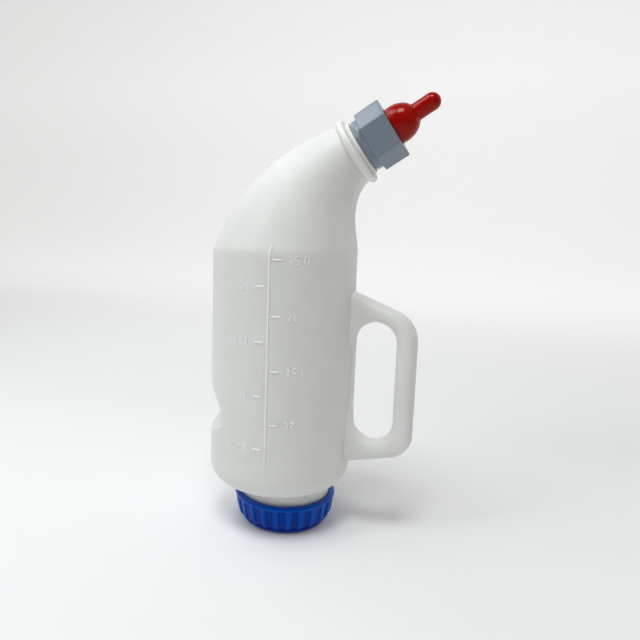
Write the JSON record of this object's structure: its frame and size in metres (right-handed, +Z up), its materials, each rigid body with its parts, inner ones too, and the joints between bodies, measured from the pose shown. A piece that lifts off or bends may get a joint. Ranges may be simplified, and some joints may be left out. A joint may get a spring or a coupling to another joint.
{
  "type": "calf feeding bottle",
  "caption": "Round blow-moulded bottle with loop handle, slanted neck, soft teat under a hexagonal nut, and a ribbed screw cap closing the base.",
  "frame": {"origin": "centre of the flat underside of the base cap", "axes": "+Z up along the bottle, +X towards the handle and the teat, the volume scale on the -Y side"},
  "size_m": [0.1844, 0.1243, 0.3672],
  "materials": {
    "bottle_plastic": "translucent natural polyethylene, satin",
    "cap_plastic": "blue moulded plastic, semi-gloss",
    "seal_rubber": "soft off-white sealing ring",
    "nut_plastic": "grey moulded plastic, semi-gloss",
    "teat_rubber": "smooth deep red rubber",
    "valve_plastic": "white moulded plastic",
    "ball_plastic": "smooth hard plastic"
  },
  "bodies": {
    "bottle": {"bottle_body": "bottle_plastic"},
    "seal": {"base_seal": "seal_rubber"},
    "cap": {"base_cap": "cap_plastic"},
    "teat_set": {"teat": "teat_rubber", "valve_seat": "valve_plastic", "valve_cage": "valve_plastic"},
    "nut": {"teat_nut": "nut_plastic"},
    "ball": {"valve_ball": "ball_plastic"}
  },
  "joints": [
    {"name": "base_cap_lift", "type": "slide", "parent": "bottle", "child": "seal", "axis": [0, 0, -1], "range_m": [0, 0.012]},
    {"name": "base_cap_turn", "type": "hinge", "parent": "seal", "child": "cap", "pos_m": [0, 0, 0], "axis": [0, 0, -1], "range_deg": [0, 720]},
    {"name": "teat_nut_lift", "type": "slide", "parent": "bottle", "child": "teat_set", "axis": [0.8368, 0, 0.5476], "range_m": [0, 0.0176]},
    {"name": "teat_nut_turn", "type": "hinge", "parent": "teat_set", "child": "nut", "pos_m": [0.06764, 0, 0.33275], "axis": [0.8368, 0, 0.5476], "range_deg": [0, 1584]},
    {"name": "valve_ball_travel", "type": "slide", "parent": "teat_set", "child": "ball", "axis": [0.8368, 0, 0.5476], "range_m": [0, 0.004]}
  ],
  "couplings": [
    {"joint": "base_cap_lift", "follows": "base_cap_turn", "m_per_rad": 0.00095493},
    {"joint": "teat_nut_lift", "follows": "teat_nut_turn", "m_per_rad": 0.00063662}
  ]
}
